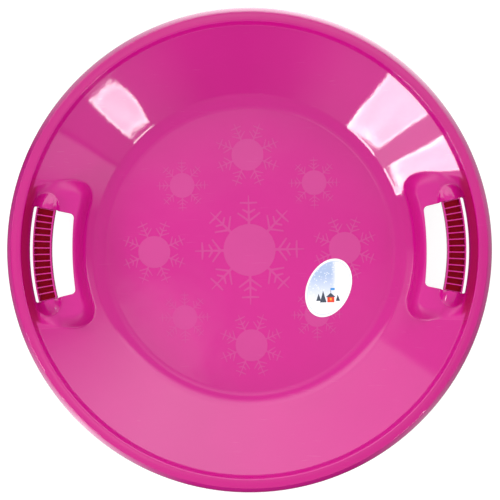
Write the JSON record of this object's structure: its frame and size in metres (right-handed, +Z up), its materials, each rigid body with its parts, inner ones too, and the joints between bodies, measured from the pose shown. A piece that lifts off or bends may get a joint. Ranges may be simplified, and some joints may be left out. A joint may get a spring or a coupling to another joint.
{
  "type": "saucer sled",
  "caption": "Round plastic saucer sled with a flared rim, two ribbed hand grips set in raised pads, and an oval label on its floor.",
  "frame": {"origin": "on the ground plane, under the middle of the dish", "axes": "+Z up out of the open dish; +X through the right-hand grip, seen from above with the label in the +X, -Y quarter"},
  "size_m": [0.6, 0.6, 0.08],
  "materials": {
    "pan_plastic": "glossy injection-moulded magenta-pink plastic",
    "right_grip_plastic": "the pan's plastic, a little less glossy between the ribs",
    "left_grip_plastic": "the pan's plastic, a little less glossy between the ribs",
    "label_film": "printed self-adhesive plastic film with a white border"
  },
  "bodies": {
    "root": {"pan": "pan_plastic", "left_grip": "left_grip_plastic", "right_grip": "right_grip_plastic", "oval_label": "label_film"}
  },
  "joints": []
}
